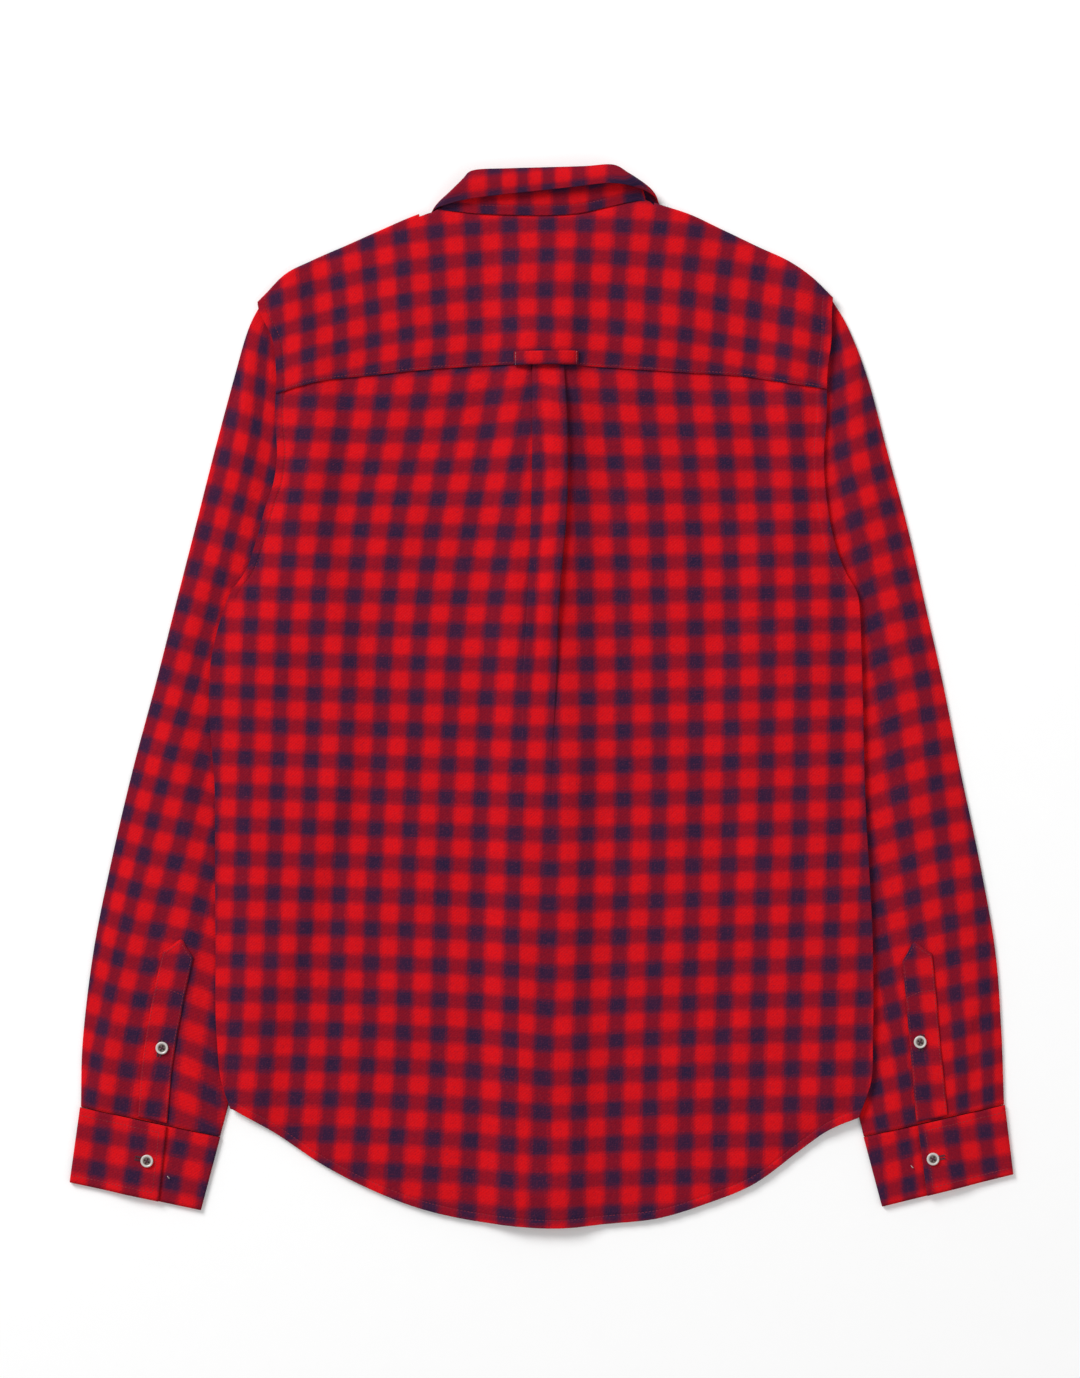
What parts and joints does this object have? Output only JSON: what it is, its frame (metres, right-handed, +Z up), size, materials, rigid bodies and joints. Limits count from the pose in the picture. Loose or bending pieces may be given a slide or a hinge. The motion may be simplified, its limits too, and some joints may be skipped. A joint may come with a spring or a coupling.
{
  "type": "flannel shirt",
  "caption": "Long-sleeved checked flannel shirt with collar, yoke, box pleat and curved hem, buttoned and laid flat face down.",
  "frame": {"origin": "centre of the laid shirt's outline, on the surface it lies on", "axes": "+X from the wearer's left sleeve to the right, +Y from hem to collar, +Z up from the surface, out of the shirt's back"},
  "size_m": [0.7092, 0.7961, 0.0169],
  "materials": {
    "flannel": "brushed cotton, matt",
    "button": "pale grey, polished rim"
  },
  "bodies": {
    "root": {"back_panel": "flannel", "collar_leaf": "flannel", "collar_stand": "flannel", "front_band": "flannel", "front_button_1": "button", "front_button_2": "button", "front_button_3": "button", "front_button_4": "button", "front_button_5": "button", "front_button_6": "button", "hanging_loop": "flannel", "left_cuff": "flannel", "left_cuff_button": "button", "left_front": "flannel", "left_gauntlet": "flannel", "left_gauntlet_button": "button", "left_sleeve": "flannel", "right_cuff": "flannel", "right_cuff_button": "button", "right_front": "flannel", "right_gauntlet": "flannel", "right_gauntlet_button": "button", "right_sleeve": "flannel", "stand_button": "button", "yoke": "flannel"}
  },
  "joints": []
}
